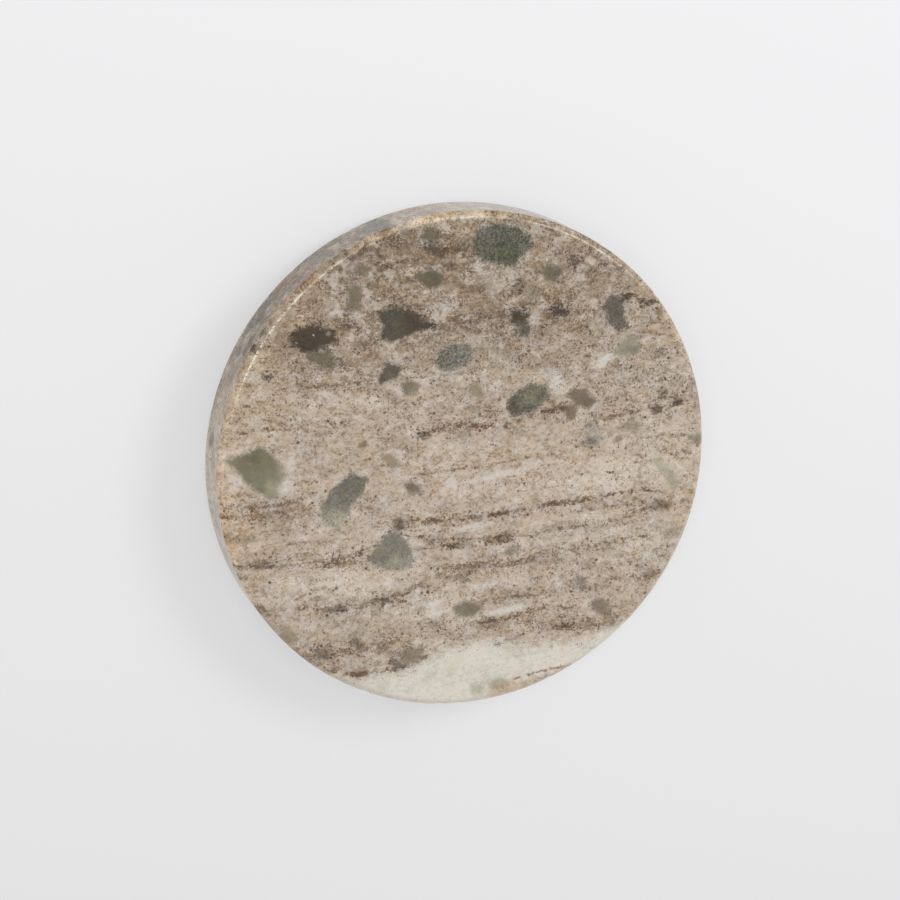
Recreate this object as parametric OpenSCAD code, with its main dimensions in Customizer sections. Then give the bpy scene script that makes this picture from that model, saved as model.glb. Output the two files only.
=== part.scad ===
// Round drink coaster: a bevelled stone disc that stands on self-adhesive bumper feet.
// The origin is at the middle of the footprint, and +Z points up out of the face that the glass stands on.

/* [Stone] */
// Diameter of the stone disc
stone_d = 100; // [80:1:140]
// Thickness of the stone disc
stone_t = 12; // [8:0.5:20]
// Width of the bevel around the upper face, measured in from the rim
upper_bevel_w = 1.1; // [0.4:0.1:3]
// Height of the bevel around the upper face, measured down from that face
upper_bevel_h = 1.1; // [0.4:0.1:3]
// Width of the bevel around the lower face, measured in from the rim
lower_bevel_w = 1.1; // [0.4:0.1:3]
// Height of the bevel around the lower face, measured up from that face
lower_bevel_h = 1.1; // [0.4:0.1:3]

/* [Feet] */
// Number of bumper feet, evenly spaced in a ring
foot_count = 4; // [3:1:8]
// Diameter of each bumper foot
foot_d = 9.5; // [6:0.5:14]
// Height of each bumper foot
foot_h = 1.8; // [1:0.1:4]
// Radius of the round on the lower edge of each bumper foot
foot_round_r = 0.8; // [0.2:0.1:0.9]
// Distance from the rim of the stone in to the side of each foot
foot_inset = 9.25; // [4:0.25:14]

/* [Adhesive] */
// Thickness of the adhesive disc between a foot and the stone
adhesive_t = 0.2; // [0.1:0.05:0.5]
// Distance that the adhesive disc stays inside the side of its foot
adhesive_margin = 0.2; // [0:0.05:1]

/* [Hidden] */
// Places worked out from the sizes above
stone_r = stone_d / 2;
foot_r = foot_d / 2;
adhesive_r = foot_r - adhesive_margin;
foot_ring_r = stone_r - foot_inset - foot_r;
foot_step_angle = 360 / foot_count;
stone_base_z = foot_h + adhesive_t;

// Colours of the pieces
stone_colour = "#a6998a";
foot_colour = "#d5d8d4";
adhesive_colour = "#e3dfd2";

$fn = 96;

// Moves a foot's piece from the middle of the disc out to its place in the ring
module in_foot_ring(index) {
    rotate([0, 0, (index - 1) * foot_step_angle])
    translate([foot_ring_r, 0, 0])
    children();
}

// One slab of stone, turned round, with a straight bevel cut along both edges
module stone_disc() {
    color(stone_colour)
    translate([0, 0, stone_base_z])
    rotate_extrude()
    polygon([
        [0, 0],
        [stone_r - lower_bevel_w, 0],
        [stone_r, lower_bevel_h],
        [stone_r, stone_t - upper_bevel_h],
        [stone_r - upper_bevel_w, stone_t],
        [0, stone_t]
    ]);
}

// Thin double-sided disc that holds a foot to the stone
module adhesive_disc(index) {
    color(adhesive_colour)
    in_foot_ring(index)
    translate([0, 0, foot_h])
    cylinder(r = adhesive_r, h = adhesive_t);
}

// Moulded bumper with a flat top, straight sides and a rounded lower edge
module bumper_foot(index) {
    color(foot_colour)
    in_foot_ring(index)
    rotate_extrude()
    intersection() {
        square([foot_r, foot_h]);
        union() {
            square([foot_r - foot_round_r, foot_h]);
            translate([0, foot_round_r])
            square([foot_r, foot_h]);
            translate([foot_r - foot_round_r, foot_round_r])
            circle(r = foot_round_r);
        }
    }
}

stone_disc();
for (index = [1 : foot_count]) {
    adhesive_disc(index);
    bumper_foot(index);
}
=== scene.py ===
import math
import random

import bpy
import numpy as np
from mathutils import Matrix, Vector


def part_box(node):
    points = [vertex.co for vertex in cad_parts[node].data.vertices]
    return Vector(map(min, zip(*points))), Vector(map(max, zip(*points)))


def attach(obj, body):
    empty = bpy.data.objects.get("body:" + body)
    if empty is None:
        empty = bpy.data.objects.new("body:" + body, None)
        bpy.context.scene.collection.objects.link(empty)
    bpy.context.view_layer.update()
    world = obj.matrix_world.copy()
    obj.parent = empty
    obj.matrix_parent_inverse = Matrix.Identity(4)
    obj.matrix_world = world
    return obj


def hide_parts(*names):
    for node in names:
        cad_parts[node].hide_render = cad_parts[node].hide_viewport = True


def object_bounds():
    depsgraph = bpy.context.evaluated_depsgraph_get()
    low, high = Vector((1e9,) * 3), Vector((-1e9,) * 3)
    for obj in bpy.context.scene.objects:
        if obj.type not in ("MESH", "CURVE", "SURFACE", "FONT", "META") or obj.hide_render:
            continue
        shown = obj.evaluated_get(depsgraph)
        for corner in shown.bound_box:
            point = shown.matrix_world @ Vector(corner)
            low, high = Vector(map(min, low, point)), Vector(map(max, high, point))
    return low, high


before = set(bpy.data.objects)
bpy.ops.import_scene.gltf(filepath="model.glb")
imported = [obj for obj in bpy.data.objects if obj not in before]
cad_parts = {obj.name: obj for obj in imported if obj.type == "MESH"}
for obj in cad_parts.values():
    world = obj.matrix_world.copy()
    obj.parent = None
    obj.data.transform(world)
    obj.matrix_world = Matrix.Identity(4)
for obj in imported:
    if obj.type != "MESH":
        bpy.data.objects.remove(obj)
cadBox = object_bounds()
mm = 0.001  # the stone's pattern is written in millimetres

stoneLow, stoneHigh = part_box("stone_disc")
stoneRadius = (stoneHigh.x - stoneLow.x) / 2
stoneMiddle = (stoneLow.z + stoneHigh.z) / 2
halfThick = (stoneHigh.z - stoneLow.z) / 2
print("frame loaded, stone", round(stoneRadius / mm, 2), "mm radius,", round(2 * halfThick / mm, 2), "mm thick")


# small helpers for meshes

def newPiece(name, addShape, **sizes):
    # a primitive, alone selected, with its place put into its mesh so that the object sits at the origin
    bpy.ops.object.select_all(action="DESELECT")
    addShape(**sizes)
    bpy.ops.object.transform_apply(location=True, rotation=True, scale=True)
    bpy.context.object.name = bpy.context.object.data.name = name
    return bpy.context.object


def meshPoints(piece):
    co = np.zeros(len(piece.data.vertices) * 3)
    piece.data.vertices.foreach_get("co", co)
    return co.reshape(-1, 3)


def placePoints(piece, co):
    piece.data.vertices.foreach_set("co", co.astype(np.float32).ravel())
    piece.data.update()


def roundTheAxis(co):
    # how far out each point lies, and its angle
    return np.hypot(co[:, 0], co[:, 1]), np.arctan2(co[:, 1], co[:, 0])


# small helpers for materials

making = {}  # the node tree that these helpers add to


class Value:
    # a node's output, which the materials add and multiply as they would a number
    def __init__(self, node, output=0):
        self.node = node
        self.socket = node.outputs[output]

    def __add__(self, other):
        return calc("ADD", self, other)

    def __sub__(self, other):
        return calc("SUBTRACT", self, other)

    def __mul__(self, other):
        return calc("MULTIPLY", self, other)


def linear(*screen):
    # a colour as it is read on a screen, 0 to 255, to Blender's linear values
    return tuple(((value / 255 + 0.055) / 1.055) ** 2.4 for value in screen)


def startNodes(owner):
    owner.use_nodes = True
    making["tree"] = owner.node_tree
    making["tree"].nodes.clear()
    return owner


def feed(socket, value):
    if isinstance(value, Value):
        making["tree"].links.new(value.socket, socket)
    elif value is not None:
        socket.default_value = (*value, 1) if socket.type == "RGBA" and len(value) == 3 else value


def addNode(kind, *values, named=None, **settings):
    # a new node, whose first inputs are fed in order and others by name
    node = making["tree"].nodes.new("ShaderNode" + kind)
    for name, setting in settings.items():
        setattr(node, name, setting)
    for socket, value in zip(node.inputs, values):
        feed(socket, value)
    for name, value in (named or {}).items():
        feed(node.inputs[name], value)
    return node


def made(kind, *values, **given):
    return Value(addNode(kind, *values, **given))


def calc(operation, *values, clamp=False):
    return made("Math", *values, operation=operation, use_clamp=clamp)


def largest(first, *others):
    for other in others:
        first = calc("MAXIMUM", first, other)
    return first


def spread(value, low, high, bottom=0.0, top=1.0, step="LINEAR"):
    # bottom to top while value goes from low to high, held at its ends
    return made("MapRange", value, low, high, bottom, top, interpolation_type=step)


def fade(value, low, high, bottom=0.0, top=1.0):
    # the same with a soft start and end
    return spread(value, low, high, bottom, top, "SMOOTHSTEP")


def swing(value, by):
    # a noise value as a swing about nought
    return (value - 0.5) * by


def blend(share, first, second, mode="MIX"):
    node = addNode("Mix", share, data_type="RGBA", blend_type=mode)
    feed(node.inputs[6], first)
    feed(node.inputs[7], second)
    return Value(node, 2)


def tinted(colour, by):
    return blend(1.0, colour, by, "MULTIPLY")


def scaled(vector, by):
    return made("VectorMath", vector, by, operation="MULTIPLY")


def joined(first, second):
    return made("VectorMath", first, second, operation="ADD")


def noiseAt(place, *sizes):
    # scale, detail and roughness
    return made("TexNoise", place, None, *sizes)


def cellsAt(place, scale):
    return made("TexVoronoi", place, None, scale)


def colourOf(texture):
    return Value(texture.node, "Color")


def channels(texture):
    # the red, green and blue of a texture, as three values
    split = addNode("SeparateColor", colourOf(texture))
    return [Value(split, number) for number in range(3)]


def wandering(place, scale, reach):
    # a place moved about by soft noise
    return joined(place, scaled(colourOf(noiseAt(place, scale, 2, 0.6)), (reach,) * 3))


def reads(name, output="Fac"):
    return Value(addNode("Attribute", attribute_name=name), output)


def objectPoint():
    return Value(addNode("TexCoord"), "Object")


def seenDirectly():
    # 1 for the camera's own rays and for those by which gloss and clear plastic show what is behind
    paths = addNode("LightPath")
    return largest(*(Value(paths, "Is " + kind + " Ray") for kind in ("Camera", "Glossy", "Transmission")))


# the stone: one slab, bevelled on both sides, with a fine even mesh that carries its pattern

stoneShape = dict(
    gridSteps=168,  # faces across each flat side
    faceRings=5,  # even rings of faces between that grid and the bevel
    ringWidth=0.56,  # mm
    bevel=1.1,  # width and height of each bevel, mm
    rimRows=9,  # rows of faces up half of the rim between the bevels
    innerSoft=(0.3, 3),  # rounding of the bevel's inner edge, mm, and its rows of faces
    outerSoft=(0.16, 2),  # and of its outer edge
    handGround=0.09,  # how far the hand-held grinding strays inwards, mm
    groundReach=0.4,  # how far it reaches in over the face, mm
    bevelDip=0.05,  # how unevenly deep it leaves the bevels, mm
    chipDepth=0.16,  # depth of the small chips along the edges, mm
    handChips=[(152, 1, 0.9), (149.5, 1, 0.5), (38, 1, 0.6), (203, 1, 0.5)],  # angle, side and size
    randomChips=26,
    chipSeed=41,
)


def drawEdgeOut(down, radius, newRadius):
    # pulls a new ring of faces from the selected edge, down and out to a new radius
    grow = newRadius / radius
    bpy.ops.mesh.extrude_edges_move(TRANSFORM_OT_translate={"value": (0, 0, -down)})
    bpy.ops.transform.resize(value=(grow, grow, 1), center_override=(0, 0, 0))


def makeStone():
    # the slab is modelled around its own middle, and lifted into its place at the end
    s = stoneShape
    bevel = s["bevel"] * mm
    faceRadius = stoneRadius - bevel
    ringWidth = s["ringWidth"] * mm
    gridRadius = faceRadius - s["faceRings"] * ringWidth
    stone = newPiece("stoneSlab", bpy.ops.mesh.primitive_grid_add, x_subdivisions=s["gridSteps"],
                     y_subdivisions=s["gridSteps"], size=2 * gridRadius, location=(0, 0, halfThick))
    co = meshPoints(stone)
    co[:, :2] *= np.sqrt(1 - (co[:, 1::-1] / gridRadius) ** 2 / 2)  # draws the square grid onto a disc
    placePoints(stone, co)

    # rings are drawn out from the grid, then the bevel and the rim are pulled down to half height
    bpy.context.tool_settings.mesh_select_mode = (False, True, False)
    bpy.ops.object.mode_set(mode="EDIT")
    bpy.ops.mesh.select_all(action="DESELECT")
    bpy.ops.mesh.select_non_manifold(extend=False, use_wire=False, use_boundary=True,
                                     use_multi_face=False, use_non_contiguous=False, use_verts=False)
    for ring in range(s["faceRings"]):
        radius = gridRadius + ring * ringWidth
        drawEdgeOut(0, radius, radius + ringWidth)
    drawEdgeOut(bevel, faceRadius, stoneRadius)
    for row in range(s["rimRows"]):
        drawEdgeOut((halfThick - bevel) / s["rimRows"], stoneRadius, stoneRadius)
    bpy.ops.mesh.select_all(action="DESELECT")
    bpy.ops.object.mode_set(mode="OBJECT")

    # the lower half is the mirror image of the upper one
    near = 0.02 * mm
    mirror = stone.modifiers.new("lowerHalf", "MIRROR")
    mirror.use_axis = (False, False, True)
    mirror.merge_threshold = near
    bpy.ops.object.modifier_apply(modifier=mirror.name)

    # each edge of the bevels is eased, as a polishing pad leaves it
    bpy.context.tool_settings.mesh_select_mode = (True, False, False)
    for radius, drop, (soft, rows) in ((faceRadius, 0, s["innerSoft"]), (stoneRadius, bevel, s["outerSoft"])):
        for side in (1, -1):
            co = meshPoints(stone)
            atHeight = np.abs(co[:, 2] * side - halfThick + drop) < near
            stone.data.vertices.foreach_set("select", atHeight & (np.abs(roundTheAxis(co)[0] - radius) < near))
            bpy.ops.object.mode_set(mode="EDIT")
            bpy.ops.mesh.bevel(offset=soft * mm, segments=rows, affect="EDGES")
            bpy.ops.mesh.select_all(action="DESELECT")
            bpy.ops.object.mode_set(mode="OBJECT")
    bpy.ops.object.mode_set(mode="EDIT")
    bpy.ops.mesh.select_all(action="SELECT")
    bpy.ops.mesh.normals_make_consistent(inside=False)
    bpy.ops.object.mode_set(mode="OBJECT")

    # hand grinding leaves the outline and bevels very slightly uneven, always inside the round
    co = meshPoints(stone)
    out, turn = roundTheAxis(co)
    side = np.sign(co[:, 2])
    reach = s["groundReach"] * mm
    waves = 0.5 + 0.3 * np.sin(5 * turn + 0.8) + 0.2 * np.sin(13 * turn + 2.1 + 0.4 * np.sin(3 * turn))
    inward = s["handGround"] * mm * waves * np.clip((out - faceRadius + reach) / (bevel + reach), 0, 1)
    co[:, 0] -= inward * np.cos(turn)
    co[:, 1] -= inward * np.sin(turn)
    uneven = 0.5 + 0.5 * np.sin(7 * turn + side + 0.6 * np.sin(4 * turn))
    dip = s["bevelDip"] * mm * uneven * np.clip(1 - np.abs(out - faceRadius) / (1.6 * bevel), 0, 1)
    co[:, 2] -= np.where(np.abs(co[:, 2]) > halfThick - bevel * 1.05, side * dip, 0)
    placePoints(stone, chipped(co) + (0, 0, stoneMiddle))
    bpy.ops.object.shade_smooth_by_angle(angle=math.radians(40))
    print("stone slab modelled:", len(stone.data.polygons), "faces")
    return stone


def chipped(co):
    # small flakes knocked out of the bevels' edges, some listed and the rest at random
    s = stoneShape
    draw = random.Random(s["chipSeed"])
    places = list(s["handChips"])
    for count in range(s["randomChips"]):
        places.append((draw.uniform(0, 360), draw.choice((1, -1)), draw.uniform(0.3, 0.8)))
    edgeHeight = halfThick - s["bevel"] * mm * 0.9
    for angle, side, size in places:
        turn = math.radians(angle)
        centre = (stoneRadius * math.cos(turn), stoneRadius * math.sin(turn), side * edgeHeight)
        away = np.linalg.norm((co - centre) / np.array([1.3, 1.3, 1.0]), axis=1)
        dent = np.clip(1 - away / (size * mm), 0, 1) ** 0.7 * s["chipDepth"] * size * mm
        toAxis = -co * np.array([1, 1, 0]) / np.maximum(roundTheAxis(co)[0], 1e-6)[:, None]
        co = co + toAxis * dent[:, None]
        co[:, 2] -= side * dent * 0.5
    return co


# the finish of the stone, colours as they look on it

surfaceSheen = 0.036  # what the surface's own reflection adds to every tone


def underSheen(*screen):
    # the base colour of a dark tone, which that reflection lightens
    return tuple(max(value - surfaceSheen, 0.003) for value in linear(*screen))


stoneFinish = dict(
    bending=0.9,  # how far the beds wander, mm
    crystals=3.0,  # cells to a millimetre
    specks=1.6,
    broadSwing=1.15,  # contrast of each size of mottling
    cloudySwing=0.95,
    crystalSwing=0.21,
    speckSwing=0.17,
    darkerTail=0.9,
    palerTail=-0.14,
    swingTint=(0.88, 1.0, 1.17),  # darker grains are browner, paler ones greyer
    level=1.14,
    warmGrain=linear(186, 163, 132),
    warmShare=0.31,
    coolGrain=linear(196, 187, 178),
    coolShare=0.36,
    paleGrain=linear(214, 204, 190),
    paleShare=0.35,
    quartz=linear(201, 192, 180),  # soft pale patches all over
    quartzSize=0.36,  # patches to a millimetre
    quartzShare=0.44,
    milk=linear(204, 197, 187),
    milkShare=0.82,
    veilShare=0.6,  # of the milk, over fragments and stains
    cream=linear(212, 206, 194),
    creamShade=linear(199, 195, 178),
    creamBlush=linear(208, 190, 168),
    pepperSize=2.1,  # threads of dark grains to a millimetre
    pepperShare=0.68,
    grains=[(2.9, 1.1), (1.5, 0.55)],  # small and large single grains: how many to a millimetre, how crowded
    seamCrowd=0.6,  # how closely the dark grains lie along a seam
    seamShare=0.85,
    darkShare=0.86,
    darkGrain=underSheen(80, 65, 51),
    darkGrainWarm=underSheen(112, 89, 66),
    rustGrain=underSheen(122, 93, 67),
    seamTone=underSheen(84, 66, 53),
    seamToneWarm=underSheen(116, 90, 70),
    hem=0.5,  # how pale the hem around a fragment is
    patchTints=[(1.03, 1.0, 0.93), (0.98, 1.0, 1.05)],  # warmer and cooler patches in the fragments
    rimTint=(1.04, 1.02, 0.995),
    rimContrast=0.25,  # how much more the polished rim shows its mottling
    bevelTint=(1.12, 1.08, 1.02),
    highlightAndWearTone=linear(238, 226, 204),  # painted highlight along the bevel's inner edge, partly pale worn stone
    # painted glints: crystal faces painted pale, as if they caught the light
    paintedGlint=0.4,
    paintedGlintTone=linear(236, 230, 220),
    roughness=(0.5, 0.16),  # honed faces, polished edges
    roughSwing=0.3,
    ior=1.5,
    bump=0.35,
    bumpDepth=0.00003,
)


# the stone's pattern, set out on the face: millimetres from its centre, x right and y up

tones = dict(  # as they look on the face
    ground=(172, 157, 141), upperGround=(148, 133, 115), pinkGround=(186, 171, 156),
    ochre=(184, 158, 126), rust=(146, 108, 78), greyGround=(160, 150, 138),
    paleGround=(198, 187, 172), brownGround=(143, 125, 108), blueGreen=(94, 94, 82),
    oliveDark=(105, 98, 82), oliveDeep=(84, 83, 66), olive=(104, 96, 79),
    oliveLight=(125, 121, 101), oliveFaint=(142, 132, 113), greyGreen=(125, 121, 109),
    oliveSoft=(119, 110, 92), paleOlive=(142, 137, 119), oliveGrey=(124, 116, 99),
    charcoal=(86, 81, 70), slate=(109, 106, 98), slateDark=(90, 86, 78),
    brownDark=(78, 69, 59), brown=(106, 86, 66), paleGreen=(166, 162, 143),
    greenDark=(111, 108, 94), greyBrown=(120, 108, 93), rustDark=(98, 72, 56),
    rustSpot=(152, 116, 84), cream=(190, 181, 166), peach=(186, 158, 131),
)

graininess = dict(  # how strongly each kind of fragment is grained inside
    blueGreen=2.0, charcoal=0.6, slate=2.5, slateDark=1.5, greenDark=1.3, oliveLight=0.15,
    oliveDark=0.6, oliveSoft=0.3, paleGreen=0.3, oliveGrey=0.4, greyGreen=0.7,
)
otherGraininess = 0.35

fragments = dict(  # by tone: the share that shows, how deep it reaches, corners
    blueGreen=[(1, 9, 1, 44.5, 2, 46.2, 6, 47.3, 9.5, 46.3, 12.6, 44.6, 12.6, 42.4, 11, 41, 9.4, 39.3,
         7.5, 39, 3, 40.7, 1.4, 42.3)],
    oliveDark=[(0.95, 3, -9.6, 45.2, -8, 47.4, -6.8, 47.2, -5.6, 45.2, -7.2, 44.6), (0.85, 3, 15.2, 37.2,
         16, 38.3, 18.3, 38.2, 19.2, 36.8, 17.5, 35.3, 16, 35.8), (0.9, 4, -32.4, 24.8, -28.4, 25.4,
         -26.6, 22.8, -27.2, 21.2, -29.5, 21.8, -31.6, 23)],
    olive=[(1, 4, -10.6, 38.2, -9, 38.9, -6.4, 38.9, -5, 37.5, -6, 35.8, -8, 35.4, -9.8, 36.8)],
    oliveSoft=[(0.95, 3, -23.8, 36.5, -22.8, 37.4, -21.6, 36.4, -21.3, 34, -22.5, 32.3, -23.7, 33.8),
        (0.95, 3, -22.5, 40.4, -21, 41, -19.9, 39.8, -20.2, 38.6, -21.8, 39), (0.8, 4, 25.8, -31.6,
         26.6, -30.6, 28.6, -30.6, 30, -32, 29.2, -33.8, 27.2, -33.6)],
    oliveFaint=[(0.5, 3, 11, 34.8, 14, 34.4, 14.2, 32, 12, 31.8), (0.45, 2, 5.8, 22.8, 9.5, 22.3,
         8.8, 20.8, 6, 21), (0.78, 2, 0.3, 15.6, 2.3, 15.8, 3.2, 13.2, 2, 12.8, 0.8, 14.3),
        (0.8, 3, -17.6, 3.1, -15.5, 3.2, -13.5, 0.9, -14.8, 0.3, -16.5, 1.2), (0.7, 3, 32, 5.5, 34.5, 6.3,
         36.2, 4.8, 34.5, 3.8, 32.5, 4.4), (0.5, 3, 41.7, -17.3, 44, -17.2, 44.8, -18.7, 43.2, -19.6,
         41.8, -18.9), (0.8, 6, -37.6, -29.6, -35.2, -31, -34.8, -32.8, -36.2, -33.4, -38.4, -31.7),
        (0.6, 2, 13.2, -8.2, 14.3, -7.8, 14.9, -8.8, 13.8, -9.3), (0.62, 2, -2.4, 6.4, -0.5, 7, 0.6, 5.6,
         -1.3, 4.9), (0.5, 2, 10.4, 5.9, 11.6, 5.9, 11.7, 5, 10.6, 4.8), (0.5, 2, -24, -32.2, -22, -31.8,
         -20.9, -33.1, -22.8, -33.8), (0.5, 3, -36.3, 33.6, -34.8, 33.9, -34.9, 31.4, -36.1, 31.2),
        (0.35, 3, 2, 37, 4.5, 36.6, 4.2, 34.8, 2.4, 35)],
    charcoal=[(1, 6, -18, 31.5, -15.5, 32, -12.5, 31, -10, 29.6, -8.4, 28.2, -10.5, 27.3, -13, 26.3,
         -16, 25.9, -17.3, 26.5, -17.1, 29), (0.9, 4, -16.6, 21.7, -15.2, 21.3, -13.6, 20.1, -13.8, 18.9,
         -15.5, 18.2, -17.6, 17.5, -17.9, 18.7, -17, 20)],
    oliveGrey=[(0.9, 3, -13.3, 17, -11.5, 17.4, -9.8, 16.3, -10.5, 15.2, -13, 15), (0.8, 5, 46.8, 1.4,
         49.5, 2.2, 51, 0, 48.5, -0.4), (0.9, 4, -2.8, -29.2, -0.8, -28.4, 1.8, -29, 2.9, -30, 1.5, -31.4,
         -0.8, -31.6, -2.3, -30.8)],
    slate=[(0.9, 5, -6.6, 21, -5.8, 23, -3, 24.1, 0, 23.6, 0.8, 22, -0.5, 20.5, -3, 19.2, -5.5, 19.6),
        (0.65, 3, 22.6, -27.5, 23.5, -25.4, 25, -26, 25.3, -27.8, 24, -28.2)],
    slateDark=[(0.9, 3, 9.8, 27.8, 11.8, 28, 12.8, 26, 12.4, 24.9, 10.8, 24.9, 10.2, 26.2),
        (0.9, 4, 28, 29.4, 29.2, 31.6, 31.6, 31, 31.9, 28, 33, 25, 31, 24.3, 29.2, 26, 28.9, 27.5)],
    paleOlive=[(0.95, 3, 30.3, 20, 32.5, 22.3, 34.5, 23, 35.5, 20.8, 34.8, 19.6, 32, 19.5)],
    greenDark=[(1, 6, 7.9, 10.2, 8.8, 12.5, 10.5, 14, 13.2, 14.9, 16.3, 14.1, 16.6, 12.3, 15, 10.6,
         12.6, 9.1, 9.6, 8.7)],
    greyBrown=[(1, 4, 20.3, 12.3, 22.2, 13.4, 24.6, 13, 26.2, 10.4, 25, 9.1, 22.5, 10.2),
        (0.95, 3, 20, 10.2, 22.6, 10, 22.6, 7.8, 21.2, 7.1, 20.2, 8), (1, 3, -13, -3.2, -11.5, -2.5,
         -9.6, -3.9, -9.3, -5.1, -11, -4.9, -12.5, -4.2), (0.75, 3, -14.3, -38, -13, -36.8, -10, -36.8,
         -8.8, -38, -10, -39.4, -12.8, -39.6)],
    oliveLight=[(1, 8, -48, 4.6, -45.4, 5.3, -41.5, 6.7, -39.6, 5.2, -38, 3.1, -36.4, 0.9, -37.6, -0.8,
         -39.2, -3.9, -41.4, -2.7, -44, -0.4, -46.3, 2.4)],
    greyGreen=[(1, 7, -25, -0.8, -23.3, -0.2, -20.5, -1.6, -21.5, -3.5, -24, -7, -24.9, -8.6, -26.8, -10.8,
         -28.6, -9.4, -29.8, -8, -29.2, -5.6, -27.8, -3.5), (0.95, 5, -16.5, -13.3, -14.8, -12.8,
         -13.5, -13.6, -12.3, -16, -10.8, -18.7, -12, -19.6, -15, -20.3, -17, -19.6, -20.6, -17.8,
         -19, -15.8), (0.3, 3, 25, 5.5, 27.3, 5, 28.3, 3, 26.5, 1.5, 25.3, 2.5), (0.75, 3, 7.8, -18.2,
         9.5, -17.9, 11.2, -18, 10.8, -19, 9, -19.7, 7.8, -19.2)],
    paleGreen=[(0.8, 3, 38.3, -2.7, 40.5, -2.7, 43, -4.8, 44.8, -7.2, 44, -9, 42.8, -8, 41.5, -5.5),
        (0.8, 3, 4.5, -45.6, 7.5, -45.2, 9, -46, 8.5, -47.5, 5, -47.8), (0.6, 3, 1, -46, 3.3, -46.3, 3, -48.2,
         1, -47.8)],
)

glazes = [  # changes of tone inside the fragments: tone, strength, x, y, half length, half height
    ("slate", 0.75, 3.4, 45.6, 3.4, 1.8), ("slate", 0.6, 11.4, 43.2, 1.4, 1.8),
    ("oliveDeep", 0.7, 8, 40.8, 3.6, 2), ("oliveDeep", 0.35, -42.4, 4.2, 3.4, 2.6),
    ("paleGreen", 0.65, -38.6, -2, 2.4, 2.8), ("paleGreen", 0.4, -37, 1.6, 1.2, 2),
    ("slate", 0.85, -24, -2.4, 3.4, 2.4), ("paleGreen", 0.8, -27.4, -9.2, 3.2, 2.8),
    ("slate", 0.4, -28.6, -5.2, 1.2, 2), ("paleGreen", 0.5, -13.8, -18.6, 3.6, 1.5),
    ("slate", 0.6, -14.6, -14, 2, 1.6), ("slate", 0.5, -17, -18, 1.4, 1), ("charcoal", 0.8, 9.4, 11, 1.6, 2),
    ("charcoal", 0.8, 12.4, 9.9, 3, 0.8), ("oliveGrey", 0.6, 12.6, 12.6, 2.2, 1.2),
    ("slateDark", 0.5, -16.4, 28.8, 1.4, 3), ("brownDark", 0.8, -11, 29, 2.6, 1.8),
    ("slateDark", 0.6, -5.4, 21.4, 1.4, 1.6), ("oliveGrey", 0.4, -9.6, 37.8, 1.2, 1),
    ("slateDark", 0.3, 0.8, -30, 1.6, 1), ("slateDark", 0.4, 30.6, 28.6, 1.2, 2),
]

stains = dict(  # iron-brown patches with ragged edges, set out as the fragments are
    brownDark=[(0.7, 4, -9.6, 43.9, -6.6, 44.2, -4.4, 42.8, -5.4, 42, -7.6, 43), (1, 5, -35.6, 27.2,
         -34.4, 29.2, -31.6, 29.9, -29, 29.5, -27, 28.2, -26.7, 26.2, -28.2, 25.6, -29.8, 25.2, -32, 24.6,
         -33.8, 25.4), (0.95, 4, -15.5, 32.7, -12.2, 32.2, -10.3, 30.8, -6.8, 28.3, -8.2, 27.3, -9.5, 28.6,
         -11.6, 29.4, -13.3, 31.2), (1, 4, 8.5, 29.9, 10.5, 30.1, 12.1, 28.9, 11.1, 27.5, 9, 27.8),
        (1, 3, 17.2, 29.8, 18.6, 30.2, 19.8, 29.8, 20, 28.7, 18.2, 28), (0.7, 3, -16.2, -39.2, -13.8, -39.2,
         -12.8, -40.6, -15.3, -41.2), (0.55, 3, -31.5, -35.2, -28.8, -35.1, -28.2, -37.4, -30.8, -37.2),
        (0.5, 3, 37.4, -12.2, 39.6, -11.4, 43.2, -11.4, 44, -12.4, 41, -13, 38.6, -13.2), (0.6, 3,
         -1.4, -22.8, -0.4, -22.8, -0.3, -24.1, -1.2, -24.1), (0.55, 3, 40, 11.5, 41.8, 11.4, 41.9, 10,
         40.2, 10.1), (0.55, 3, 38.2, 8.8, 40.6, 8.8, 40.4, 7.1, 38.6, 7.2), (0.6, 3, 46.6, 13.6, 48.6, 13.4,
         48.5, 11.9, 47, 12), (0.5, 3, -28.6, -26.9, -26.2, -26.7, -26.1, -27.9, -28.2, -28),
        (0.5, 3, -44.4, -16, -41.6, -15.8, -41.4, -17.4, -44, -17.4)],
    greyBrown=[(1, 4, -15.3, -10.2, -13.5, -9.7, -12.8, -12, -14, -12.9, -15.2, -11.8)],
    brown=[(0.8, 3, -24, -40.7, -21.2, -40.4, -20.6, -41.4, -22.6, -42), (0.5, 3, 28.4, -33.4, 30, -33.2,
         31.6, -35, 31.2, -36.6, 29.4, -36.2), (0.6, 3, 37, -25.6, 40.6, -25.2, 40, -27.4, 37.6, -27.2)],
    peach=[(0.64, 3, 4.5, -47, 12, -46.2, 18, -45.2, 24, -43.4, 26, -42.6, 20, -46.4, 12, -49, 5, -49.4)],
)

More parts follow.
